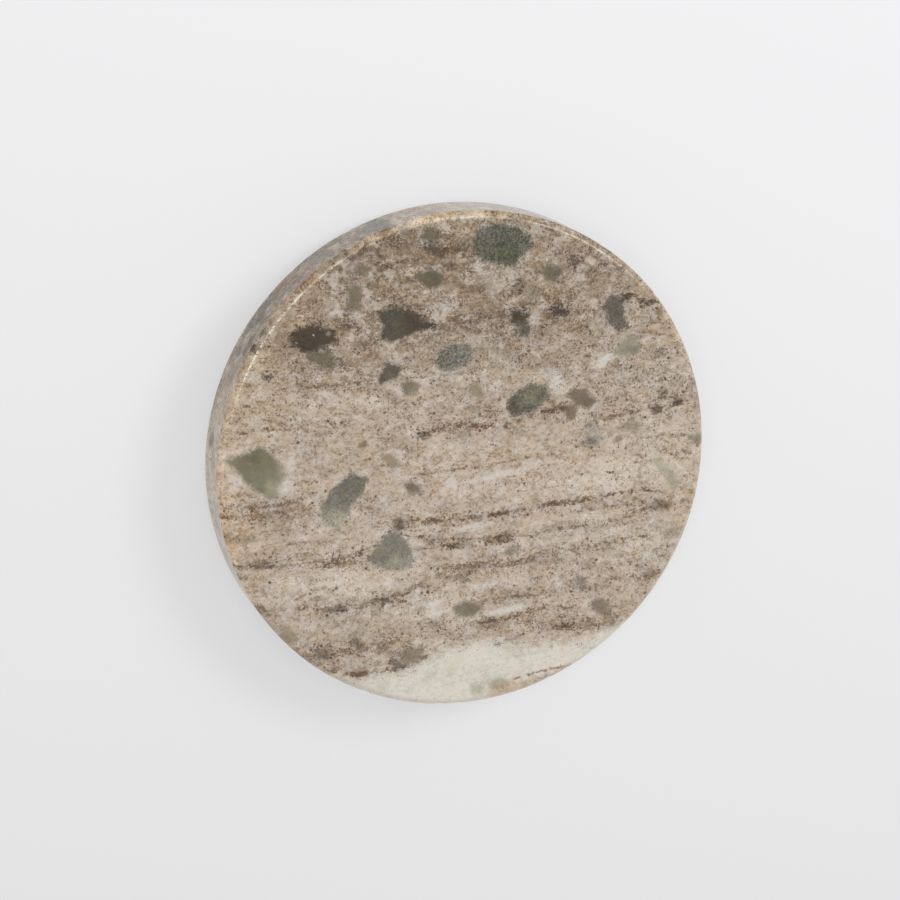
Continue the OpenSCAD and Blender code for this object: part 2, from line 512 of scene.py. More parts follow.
spots = dict(  # single dark grains and small clusters, by tone: x, y, half length, half height, share
    brownDark=[(-15.3, 45.1, 0.4, 0.3, 0.8), (-13.6, 45, 0.4, 0.35, 0.8), (22.1, 38.6, 0.9, 0.5, 0.8),
        (9.8, 35.1, 0.4, 0.35, 0.8), (10.6, 34.1, 0.35, 0.4, 0.8), (32.9, 31, 0.6, 0.5, 0.9),
        (36.8, 29.4, 0.6, 0.4, 0.8), (38.8, 30.2, 0.7, 0.4, 0.8), (-40, 20.3, 0.8, 0.5, 0.8),
        (44.3, 20.7, 0.35, 0.3, 0.9), (-9, 6.6, 0.9, 0.6, 0.8), (23.6, 2, 0.6, 0.4, 0.7),
        (44, 9.3, 0.7, 0.5, 0.8), (6.5, -11, 1.3, 0.4, 0.7), (-1.4, -14.5, 0.8, 0.3, 0.7),
        (-2, -16.2, 1.8, 0.5, 0.6), (7.7, -16, 0.9, 0.4, 0.7), (-7.4, -15.6, 0.7, 0.4, 0.6),
        (-43, -4.8, 1.3, 0.4, 0.5), (-17.4, -26.3, 1.3, 0.7, 0.6)],
    brown=[(-19.3, 43.6, 1, 0.7, 0.7), (-1.6, 42.8, 0.8, 0.3, 0.6), (18, 45, 0.8, 0.5, 0.5),
        (39.4, 27.6, 0.6, 0.6, 0.7), (-21.3, 5.7, 0.8, 0.7, 0.7), (-16.7, 6, 0.7, 0.4, 0.6),
        (31.3, 2.3, 0.5, 0.4, 0.8), (2, -11.1, 0.9, 0.5, 0.7), (-7.3, -11.1, 1, 0.6, 0.7),
        (46.1, -11.5, 0.7, 0.5, 0.7), (-44, -11.4, 1.3, 0.5, 0.5), (1.4, -21.5, 2.8, 0.9, 0.5),
        (5.4, -33.6, 4, 0.8, 0.45), (12.7, -33.4, 0.9, 0.7, 0.5), (25.3, -22.8, 1.3, 0.8, 0.4),
        (15, -21.2, 4.5, 0.6, 0.4)],
    slateDark=[(40.1, 19.2, 1, 0.8, 0.5), (25.5, 5.7, 0.8, 0.5, 0.7), (25.8, 2.4, 1.5, 0.9, 0.7),
        (-41.8, -16.6, 2, 0.9, 0.6), (-7.2, -32.2, 0.9, 0.5, 0.6)],
    rustDark=[(16, 9.2, 0.7, 0.5, 0.8), (19.1, 9.7, 0.7, 0.45, 0.8), (1.8, 7.4, 1.3, 0.5, 0.7),
        (20, -35.8, 1.6, 0.5, 0.6)],
    rustSpot=[(19.2, 29, 0.5, 0.4, 0.9)],
    charcoal=[(46.1, -1.3, 0.5, 0.15, 0.9), (15, -25, 0.3, 0.3, 0.9), (6, -37.9, 0.2, 0.2, 1),
        (6.7, -37.9, 0.2, 0.2, 1)],
    oliveDark=[(-23.3, -35, 0.9, 0.8, 0.6)],
)

shades = [  # a darker or paler ground: share of its brightness, x, y, half length, half height
    (0.75, -22, 41, 6, 4), (1.22, -6, 32.5, 9, 2.2), (1.2, -2, 47.5, 12, 2), (1.13, -47.5, 2, 3, 16),
]

seams = [  # thin brown seams along the bedding: strength, half width, points from left to right
    (0.5, 0.45, -12.5, 44.4, -9, 43.8, -4, 42.2, -2.4, 42.3),
    (0.5, 0.28, -9, 28.2, -3, 28.3, 3, 28.7, 8, 28.7), (0.3, 0.25, 12, 28.8, 16, 28.7),
    (0.3, 0.25, 21, 28.6, 28.5, 29), (1, 0.5, 31.5, 31.6, 34, 31.4, 36, 30, 40, 29.7),
    (0.6, 0.35, -31, 17.8, -24, 17.9, -18, 18.4), (0.45, 0.35, -13, 17.8, -8, 18.2, 0, 18.3, 7, 19.6),
    (0.7, 0.4, -11, 6.4, -8, 7, -5, 7.8), (0.8, 0.36, -4.4, 8, -1.4, 7.9, 2, 7.3, 6, 7),
    (0.7, 0.34, 7, 7, 12, 8.3, 14.6, 9.2), (0.95, 0.42, 15, 9.4, 20, 9.5),
    (0.75, 0.4, 28, 6.8, 32, 7.3, 36, 7.8, 41, 8, 46, 9),
    (0.42, 0.5, -49.5, -4.6, -42, -5.2, -36, -5, -33, -3.8, -29.5, -3.1),
    (0.5, 0.6, -50, -6.4, -41, -7, -34, -6.3, -30, -7.1),
    (0.6, 0.3, -10.5, -1.5, -4, -1, 2, -0.8, 9, -0.3, 13, 0.3), (1.3, 0.62, 15, -9.9, 19, -9.8, 26, -9.4),
    (0.85, 0.36, 26, -9.4, 30, -9, 36.5, -8.4, 41, -9.4), (0.5, 0.34, -13, -10.6, -9, -10.9),
    (0.75, 0.42, -8.6, -10.9, -5.8, -10.9), (0.35, 0.28, -5, -11, -2, -11.2),
    (0.8, 0.45, -1.6, -11.3, 3, -11.2), (0.85, 0.45, 4.4, -11, 8.4, -10.7, 11, -10.4),
    (0.85, 0.4, -13.4, -13.2, -11, -14, -7.5, -14.1), (0.7, 0.36, -7, -15, -3, -15.1, 1, -15.6),
    (0.55, 0.34, 3, -15.6, 10, -15.6), (0.9, 0.5, -5.4, -16.2, -2, -17, 0.4, -16.6),
    (0.9, 0.45, 3.6, -16.1, 6, -16.6, 9.5, -16.5), (0.55, 0.33, 15, -15.3, 20, -15.2, 25, -14.8),
    (0.45, 0.33, 28, -14.4, 32, -14.2, 36, -13), (0.5, 0.45, 35.5, -13.2, 38, -12.1, 43, -12.6),
    (0.55, 0.35, 22, -11.8, 28, -11.5, 34, -11.2),
    (0.5, 0.5, -47.5, -16.5, -42, -17, -38, -17.5, -33, -17, -28.5, -17.3),
    (0.75, 0.5, -28, -17.3, -22, -16.2, -19, -15, -17, -13.2, -14.8, -12),
    (0.7, 0.5, -31, -18.2, -24, -18.2, -19.5, -17.2),
    (0.42, 0.6, -31, -26.8, -26, -27.4, -22, -26.8, -17, -26, -12, -24.9, -9.5, -23.7),
    (0.6, 0.5, -3, -21, 3, -21, 8, -21.8, 13, -20.5, 20, -19.5, 28, -19, 35, -18.4),
    (0.7, 0.45, 0, -32.9, 7, -33, 12, -32, 17, -31, 22, -32.2), (0.6, 0.4, 3, -28.6, 8, -28.3, 15, -28.6),
    (0.9, 0.45, 17.5, -36.1, 20, -35.7, 22.5, -35.8),
    (0.95, 0.45, -28, -39.8, -24, -41, -20.8, -41.4, -18.8, -40.8),
    (0.8, 0.45, -18, -40.6, -16, -41.2, -13, -40.4, -10, -39.5, -8, -38.5),
    (1.1, 0.3, 10, -45.7, 14, -45, 18, -44.4, 22.5, -44.2), (0.6, 0.3, -46, 9.8, -40, 10.2, -33, 9.6),
    (0.5, 0.35, 34, -27.5, 38, -26.6, 42, -26.4), (0.6, 0.28, 36.5, 2.2, 41, 2.5, 46, 2.2),
    (0.5, 0.4, -37.5, -13.2, -32, -12.9, -27, -13.2),
]

clouds = [  # milky patches: strength, x, y, half length, half height, tilt in degrees
    (0.68, -5.6, 31.4, 3.4, 1.6), (0.35, -9, 25.4, 3, 1.2), (0.35, 2.5, 27.5, 2.4, 1.6),
    (0.45, 37.5, 27.6, 2.4, 2), (0.56, 3.4, 38.6, 4.4, 2.2, -18), (0.34, 4.2, 45.4, 3.4, 1.6, 15),
    (0.3, 10.5, 44.6, 1.8, 1.6), (0.52, 9, 36.8, 3, 2, 30), (0.38, -26, 35.8, 2, 2.8), (0.8, -28, 28, 1, 0.8),
    (0.9, -29.2, 24.7, 1.1, 0.7, -20), (0.66, 13.8, 28.4, 1.6, 1.8), (0.5, 8.6, 26.3, 1.6, 1, -30),
    (1, 28.3, 18.6, 2.4, 1.2, 38), (0.95, 18.2, 15, 1.8, 2.2, -20), (0.6, 17, 16.8, 2.5, 1.6, 30),
    (0.75, -36.8, -1.4, 2.6, 2.4, -30), (0.6, -35.6, 2.5, 1.1, 3.2), (0.5, -46.5, 0.5, 1.6, 2.2, 30),
    (0.5, -39, 7.6, 1.6, 1), (0.9, 6, -2.9, 9.5, 0.7, 7), (0.95, -3.5, -3.6, 1.7, 1.3, 10),
    (0.5, 16, -1.2, 7, 0.8, 5), (1.05, 8.2, -31, 5.2, 0.75, 6), (0.8, 3.6, -25.4, 4.6, 0.8, 5),
    (0.85, 1, -13.1, 3.8, 0.8, 6), (0.8, -7, -28, 2.4, 1.8, 60), (0.8, -6.4, -30.4, 1.9, 1, 20),
    (0.5, -5, -26.8, 1.2, 1.6), (0.75, -17.4, -12.4, 1.8, 1.3, 30), (0.6, -11, -14.8, 1.6, 1.3, -30),
    (0.5, -10.4, -19.2, 1.4, 1), (0.5, -32, -21.4, 6.5, 1.4, -3), (0.35, -20, -23, 9, 1.4, 2),
    (0.45, 27, -13.6, 4, 1.4), (0.4, 30, -16.6, 4, 1.2), (0.6, 38.5, -22.6, 3.2, 1.8, 20),
    (0.5, 42.5, -15, 2.6, 1.2), (0.25, -2, 17.5, 8, 1.2, 5), (0.3, 22, -17.6, 5, 1), (0.35, 4, 24.8, 3, 1.6),
    (0.3, -22.5, 14, 8, 1.6), (0.3, -36, 11.8, 9, 1.2), (0.25, 46, 15.5, 3, 3),
    (0.45, -22.5, -38.6, 2.6, 1.2, 10), (0.35, 22, -23, 2.6, 1.4), (0.25, -9, 2.6, 9, 1, 3),
    (0.6, 25.6, 5.4, 1.3, 1), (0.25, 18, 23.5, 3, 2),
]

washes = [  # changes of the ground's colour: tone, strength, x, y, half length, half height
    ("upperGround", 1, 0, 46, 66, 24), ("upperGround", 0.85, -6, 30, 44, 12),
    ("brownGround", 0.5, -12, 44, 14, 5), ("brownGround", 0.5, 2, 29, 30, 3.6),
    ("brownGround", 0.4, -31, 24, 6, 4), ("ochre", 0.35, -43, 16, 7, 13), ("ochre", 0.35, -36, 34, 7, 6),
    ("ochre", 0.3, 44, 22, 6, 12), ("rust", 0.45, -33, 38.5, 4, 2), ("greyGround", 0.6, 40, 15, 12, 5),
    ("brownGround", 0.35, -1, 12, 11, 3), ("pinkGround", 0.85, 14, -5, 26, 5),
    ("pinkGround", 0.4, 0, 1, 24, 4), ("pinkGround", 0.35, -22, -14, 18, 5),
    ("paleGround", 0.4, 42, 0, 10, 5), ("paleGround", 0.6, -26, -22.5, 20, 3.6),
    ("ochre", 0.5, -46, -8, 5, 6), ("brownGround", 0.4, -41, -8, 10, 3), ("greyGround", 0.3, 26, -16, 20, 4),
    ("pinkGround", 0.6, 10, -13, 34, 1.6), ("pinkGround", 0.7, 14, -18, 26, 1.5),
    ("pinkGround", 0.7, 6, -25, 18, 1.5), ("paleGround", 0.4, 38, -20, 10, 4),
    ("greyGround", 0.5, -20, -28, 16, 4), ("brownGround", 0.4, -24, -36, 16, 4.6),
    ("paleGround", 0.5, -8, -29, 7, 4), ("pinkGround", 0.4, 20, -30.5, 18, 1.5), ("ochre", 0.2, 8, 1, 20, 3),
    ("ochre", 0.2, 28, -6, 16, 3), ("ochre", 0.25, -44, -15, 5, 10), ("ochre", 0.4, 46, -10, 5, 9),
    ("ochre", 0.8, 20, -45.6, 12, 1.8), ("greyGround", 0.35, 0, 26, 16, 5),
    ("brownGround", 0.7, -23, 42, 6, 3.5), ("pinkGround", 0.8, 30, -4.5, 24, 4),
    ("paleGround", 0.5, 34, -5, 16, 3.2),
]

bands = [  # how thickly the dark grains lie: density, x, y, half length, half height
    (0.4, -22.5, 42.5, 4, 2.6), (0.3, -17.5, 37.5, 3.6, 2.6), (0.2, 15, 35, 6, 3), (0.2, -24, 30, 6, 2.4),
    (0.5, 0, 45, 60, 7), (0.35, -6, 43, 10, 3.5), (0.42, 0, 36, 60, 5.5), (0.42, 0, 29, 60, 4.4),
    (0.3, 4, 29, 22, 1.6), (0.34, 0, 22, 60, 6), (0.11, -36, 15, 14, 8), (0.17, 36, 15, 16, 8),
    (0.2, -32, 22, 9, 5), (0.15, 0, 12, 60, 6), (0.2, 2, 8, 22, 2.2), (0.28, 40, 8.5, 14, 3),
    (0.28, -38, -6, 16, 3.2), (0.07, 0, -2, 60, 6), (0.1, 0, -10, 60, 2), (0.2, -4, -11, 16, 1.4),
    (0.22, 4, -16, 14, 1.6), (0.22, 28, -15, 16, 1.5), (0.3, -36, -17, 16, 2.2), (0.35, 2, -21.5, 10, 1.8),
    (0.21, 22, -20, 18, 2.4), (0.06, 0, -22, 60, 5), (0.45, -20, -26.6, 14, 2), (0.28, 12, -28.5, 12, 1.3),
    (0.16, 26, -26, 16, 3), (0.35, 10, -33, 16, 1.6), (0.12, 0, -33, 60, 4.5), (0.5, -23, -36.5, 15, 3.2),
    (0.3, 24, -36, 12, 2), (0.06, 30, 2, 18, 4), (0.12, -14, -15, 8, 4), (0.16, 42, -24, 10, 6),
    (0.25, 38, -12, 7, 1.6),
]

creamShore = [  # outline of the cream bed
    -60, -60, -60, -45, -31, -40.6, -27, -41.2, -22, -42, -18, -41.6, -14, -41.4, -10, -40.2, -5, -38, 2,
    -36.8, 7, -37.4, 12, -38.8, 18, -38.7, 25, -39, 29, -37.6, 36, -36, 60, -34, 60, -60,
]

rimMarks = dict(  # on the bevel and rim, by tone: degrees, depth, half length, half depth, share
    rustDark=[(148.5, 0.7, 0.8, 0.9, 1), (187.5, 0.5, 0.5, 1.1, 0.6), (211.5, 0.6, 1.1, 1, 0.6),
        (202.5, 0.5, 0.5, 1, 0.45)],
    charcoal=[(144.5, 0.5, 0.6, 0.9, 0.9), (142.2, 6.4, 1.5, 2.2, 0.75), (138, 8.4, 2.2, 1.6, 0.55),
        (148.8, 3.6, 2.6, 1.3, 0.75), (146, 8.8, 2.4, 1.3, 0.55)],
    rustSpot=[(128.2, 0.5, 0.7, 1, 0.6), (163, 0.6, 0.7, 1, 0.4), (178, 0.7, 0.9, 0.9, 0.4),
        (193, 0.5, 1.6, 1, 0.35), (155, 0.9, 1.1, 0.6, 0.55)],
    olive=[(120, 0.7, 1, 0.7, 0.5), (93, 0.8, 1.4, 0.7, 0.2), (99, 0.2, 1.2, 0.8, 0.25)],
    brown=[(109, 0.8, 1.4, 0.7, 0.3), (84, 0.6, 0.9, 0.8, 0.45)],
    cream=[(103.5, 2.6, 2.6, 4.2, 0.6)],
    paleGround=[(88, 6, 4, 5, 0.4)],
    greyGreen=[(109, 6.5, 1.9, 4.2, 0.75), (123.5, 6.3, 2.3, 2.8, 0.65), (134, 4.5, 2.5, 1.3, 0.5),
        (150.6, 7, 1.1, 1.6, 0.8), (161, 9.3, 3, 1.3, 0.4), (181, 8.2, 2.4, 1.8, 0.35),
        (191.5, 5.2, 1.7, 1.6, 0.35), (203.5, 5.2, 2.6, 3.6, 0.35), (197, 8.6, 2.2, 2.4, 0.3),
        (119, 9.4, 2.2, 1.2, 0.4)],
    brownGround=[(156, 5.4, 2.4, 2, 0.7), (176, 4.6, 3.2, 1.6, 0.5), (129, 9.2, 3.6, 1.3, 0.5)],
    paleGreen=[(168.8, 7.6, 2.3, 2.6, 0.6)],
    greyBrown=[(115, 2.6, 3.4, 1, 0.4)],
)

rimToneAndPaintedLight = [  # tone of the rim's ground, partly painted light and shade by angle: angle, half angle, share of its brightness
    (138, 30, 0.8), (125, 8, 1.12), (110, 14, 1.1), (88, 16, 1.16), (180, 18, 1.1), (300, 60, 0.95),
    (30, 40, 0.96),
]

bevelToneAndPaintedLight = [  # and of the bevel's, partly painted light and shade by angle
    (188, 20, 1.74), (96, 13, 2.05), (111, 12, 1.6), (150, 9, 1.1), (300, 60, 1.05),
]

highlightAndWearStretches = [  # painted highlight stretches along the bevel's inner edge, partly pale worn stone: angle, half angle, strength
    (134.8, 2.6, 1), (125, 7, 0.55), (144, 6, 1), (152.5, 7, 1), (90, 5, 0.7), (97, 4, 0.5), (160, 5, 0.6),
    (60, 14, 0.3),
]

chance = dict(
    seed=7,
    deepFragments=64,  # fragments inside the slab and under it, which show on the rim and underside
    beddingLean=0.22,  # how far the bedding leans for each millimetre of depth
    seamLayers=3,
)


farAway = 99.0  # mm, further than anything in the pattern


def rowsOf(kinds):
    return [(tone, *row) for tone, rows in kinds.items() for row in rows]


def pairs(flat):
    return list(zip(flat[::2], flat[1::2]))


def outlinesOf(kinds):
    # rows of tone, share, depth, corners and the level at which the piece lies
    return [(tone, share, reach, pairs(flat), 0) for tone, share, reach, *flat in rowsOf(kinds)]


def baseOf(tone):
    return np.array(underSheen(*tones[tone]))


def outlineDistance(px, py, corners):
    # distance to a closed outline, negative inside it
    nearest = np.full(px.shape, 1e6)
    inside = np.zeros(px.shape, dtype=bool)
    for (ax, ay), (bx, by) in zip(corners, corners[1:] + corners[:1]):
        ex, ey = bx - ax, by - ay
        along = np.clip(((px - ax) * ex + (py - ay) * ey) / (ex * ex + ey * ey), 0, 1)
        nearest = np.minimum(nearest, np.hypot(px - ax - along * ex, py - ay - along * ey))
        inside ^= ((ay > py) != (by > py)) & (px < ex * (py - ay) / (ey or 1e-9) + ax)
    return np.where(inside, -nearest, nearest)


def seamOffset(px, py, points):
    # how far above a seam each point lies, and how much of the seam is left there past its ends
    xs, ys = points[::2], points[1::2]
    slope = (np.interp(px + 0.4, xs, ys) - np.interp(px - 0.4, xs, ys)) / 0.8
    past = np.maximum(np.maximum(xs[0] - px, px - xs[-1]) + 0.6, 0)
    return (py - np.interp(px, xs, ys)) / np.sqrt(1 + slope * slope), np.clip(1 - past / 1.6, 0, 1)


def seamGap(first, second):
    # the least height between two seams where one lies over the other
    xs = np.linspace(max(first[0], second[0]) - 2, min(first[-2], second[-2]) + 2, 40)
    if xs[-1] <= xs[0]:
        return farAway
    return np.abs(np.interp(xs, first[::2], first[1::2]) - np.interp(xs, second[::2], second[1::2])).min()


def seamsApart():
    # shares the seams out so that the seams of one layer lie well away from each other
    layers = [[] for layer in range(chance["seamLayers"])]
    for seam in seams:
        room = [min([farAway] + [seamGap(seam[2:], other[2:]) for other in layer]) for layer in layers]
        layers[room.index(max(room))].append(seam)
    return layers


def softFall(squares):
    # 1 in the middle, falling smoothly to 0 at one and a half times the half sizes
    return np.clip(1 - squares / 2.25, 0, 1)


def softBlob(px, py, x, y, halfLength, halfHeight, tilt=0.0):
    c, s = math.cos(math.radians(tilt)), math.sin(math.radians(tilt))
    u = ((px - x) * c + (py - y) * s) / halfLength
    v = ((py - y) * c - (px - x) * s) / halfHeight
    return softFall(u * u + v * v) ** 2


def randomOutline(draw, x, y, size):
    # an irregular fragment with five to eight corners
    count = draw.randint(5, 8)
    stretch = draw.uniform(1.0, 1.8)
    lean = draw.uniform(0, math.pi)
    corners = []
    for step in range(count):
        angle = (step + draw.uniform(-0.3, 0.3)) * 2 * math.pi / count
        reach = size * draw.uniform(0.7, 1.15)
        u, v = reach * math.cos(angle) * stretch, reach * math.sin(angle)
        corners.append((x + u * math.cos(lean) - v * math.sin(lean),
                        y + u * math.sin(lean) + v * math.cos(lean)))
    return corners


def deepPattern():
    # what the face doesn't show: fragments lower in the slab, in the same tones and sizes
    draw = random.Random(chance["seed"])
    kinds = ["olive", "greyGreen", "oliveLight", "charcoal", "slate", "greenDark", "oliveFaint", "greyBrown",
             "blueGreen", "oliveFaint", "greyGreen", "slate"]
    found = []
    for count in range(chance["deepFragments"]):
        onRim = count % 2 == 0
        angle = draw.uniform(0, 2 * math.pi)
        out = draw.uniform(47, 52) if onRim else 50 * math.sqrt(draw.random())
        level = draw.uniform(4, 10) if onRim else 12 + draw.uniform(-0.5, 1.5)
        size = draw.uniform(1.0, 3.0) if onRim else draw.choice((0.9, 1.3, 1.8, 2.4, 3.4, 4.2))
        outline = randomOutline(draw, out * math.cos(angle), out * math.sin(angle), size)
        found.append((draw.choice(kinds), draw.uniform(0.5, 1.0), size * 1.1, outline, level))
    return found


def lay(layer, away, tone, share):
    # away is the distance from a piece's edge: each point takes the piece that is nearest to it
    nearer = away < layer["edge"]
    layer["edge"] = np.where(nearer, away, layer["edge"])
    layer["tint"][nearer] = (*baseOf(tone), share)
    layer["grain"][nearer] = graininess.get(tone, otherGraininess)


def layOutlines(px, py, depth, rows):
    count = len(px)
    layer = {"edge": np.full(count, farAway), "tint": np.zeros((count, 4)), "grain": np.zeros(count)}
    for tone, share, reach, corners, level in rows:
        lay(layer, outlineDistance(px, py, corners) + (depth - level) ** 2 / (2 * reach), tone, share)
    layer["edge"] = np.clip(layer["edge"], -6, 6)
    return layer


def layPattern(stone):
    co = meshPoints(stone) / mm
    depth = stoneHigh.z / mm - co[:, 2]
    px = co[:, 0] + chance["beddingLean"] * 0.5 * depth
    py = co[:, 1] + chance["beddingLean"] * depth
    out, turn = roundTheAxis(co)
    radius, bevel = stoneRadius / mm, stoneShape["bevel"]
    faceRadius = radius - bevel

    def setValues(name, values):
        kind, field = ("FLOAT_COLOR", "color") if values.ndim == 2 else ("FLOAT", "value")
        attribute = stone.data.attributes.new(name, kind, "POINT")
        attribute.data.foreach_set(field, values.astype(np.float32).ravel())

    def turnFrom(angle):
        return (np.degrees(turn) - angle + 180) % 360 - 180

    def blob(*place):
        return softBlob(px, py + sag, *place)

    deep = deepPattern()
    layer = layOutlines(px, py, depth, outlinesOf(fragments) + deep)
    for tone, strength, *place in glazes:
        share = (strength * softBlob(px, py, *place) * (depth < 8))[:, None]
        layer["tint"][:, :3] = layer["tint"][:, :3] * (1 - share) + baseOf(tone) * share
    setValues("fragmentEdge", layer["edge"])
    setValues("fragmentTint", layer["tint"])
    setValues("fragmentGrain", layer["grain"])

    layer = layOutlines(px, py, depth, outlinesOf(stains))
    offTheRim = np.where(out > faceRadius - 0.5, 0, farAway)
    for tone, angle, level, halfAlong, halfDeep, share in rowsOf(rimMarks):
        reach = np.hypot(np.radians(turnFrom(angle)) * radius / halfAlong, (depth - level) / halfDeep)
        lay(layer, (reach - 1) * min(halfAlong, halfDeep) + offTheRim, tone, share)
    for tone, x, y, halfLength, halfHeight, share in rowsOf(spots):
        reach = np.hypot((px - x) / halfLength, (py - y) / halfHeight)
        lay(layer, (reach - 1) * min(halfLength, halfHeight) + depth * 0.8, tone, share)
    setValues("stainEdge", layer["edge"])
    setValues("stainTint", layer["tint"])

    # the underside's seams are the face's own, moved along, as the same beds run through the slab
    sag = 1.2 * np.sin(px / 13 + depth / 4) * depth / 12
    for number, layer in enumerate(seamsApart()):
        nearest = np.full(len(co), 6.0)
        left = np.zeros(len(co))
        for strength, halfWidth, *points in layer:
            offset, share = seamOffset(px, py + sag, points)
            offset = offset / (0.85 * halfWidth)
            nearer = (np.abs(offset) < np.abs(nearest)) & (share > 0)
            nearest = np.where(nearer, offset, nearest)
            left = np.where(nearer, strength * share * np.clip(4.2 - np.abs(offset), 0, 1), left)
        setValues("seamOffset" + str(number), nearest)
        setValues("seamLeft" + str(number), left)

    setValues("cloud", np.max([strength * blob(*place) for strength, *place in clouds], axis=0))
    setValues("darkGrains", 0.05 + sum(strength * blob(*place) for strength, *place in bands))
    setValues("creamShore", np.clip(outlineDistance(px, py + sag, pairs(creamShore)), -8, 8))

    # the ground's colour, then its brightness on the face, and on the rim and the bevel, where it is partly
    # painted light and shade
    ground = np.tile(baseOf("ground"), (len(co), 1))
    for tone, strength, *place in washes:
        share = np.clip(strength * blob(*place), 0, 1)[:, None]
        ground = ground * (1 - share) + baseOf(tone) * share
    for factor, *place in shades:
        ground *= 1 + (factor - 1) * blob(*place)[:, None]
    onRim = np.clip((depth - bevel + 0.2) / 0.5, 0, 1) * (out > faceRadius)
    onBevel = np.clip(1 - np.abs(depth - bevel / 2) / bevel, 0, 1) * (out > faceRadius)
    # painted light and shade: the rim and bevel made lighter and darker by angle, besides their own tone
    for where, rows in ((onRim, rimToneAndPaintedLight), (onBevel, bevelToneAndPaintedLight)):
        for angle, halfAngle, factor in rows:
            ground *= 1 + (factor - 1) * (softFall((turnFrom(angle) / halfAngle) ** 2) * where)[:, None]
    setValues("ground", np.column_stack([ground, np.ones(len(co))]))

    # 0 on the honed faces, 1 on the polished bevels and rim
    polish = np.clip((out - faceRadius + 0.25) / 0.35, 0, 1)
    setValues("polish", polish)
    rise = (halfThick / mm - bevel - np.abs(depth - halfThick / mm)) / bevel
    setValues("bevel", polish * np.clip(1 - rise * 2, 0, 1))
    # painted highlight along the bevel's inner edge, partly pale worn stone, at the angles where the light
    # catches it
    paintedHighlightAndWear = np.max([strength * np.clip(1.4 - np.abs(turnFrom(angle)) / halfAngle, 0, 1)
                    for angle, halfAngle, strength in highlightAndWearStretches], axis=0)
    setValues("paintedHighlightAndWear", paintedHighlightAndWear * np.clip(1.3 - np.abs(out - faceRadius + 0.06) / 0.24, 0, 1) * (depth < 2))
    print("pattern laid:", len(rowsOf(fragments)), "fragments,", len(deep), "deeper ones,", len(seams), "seams")


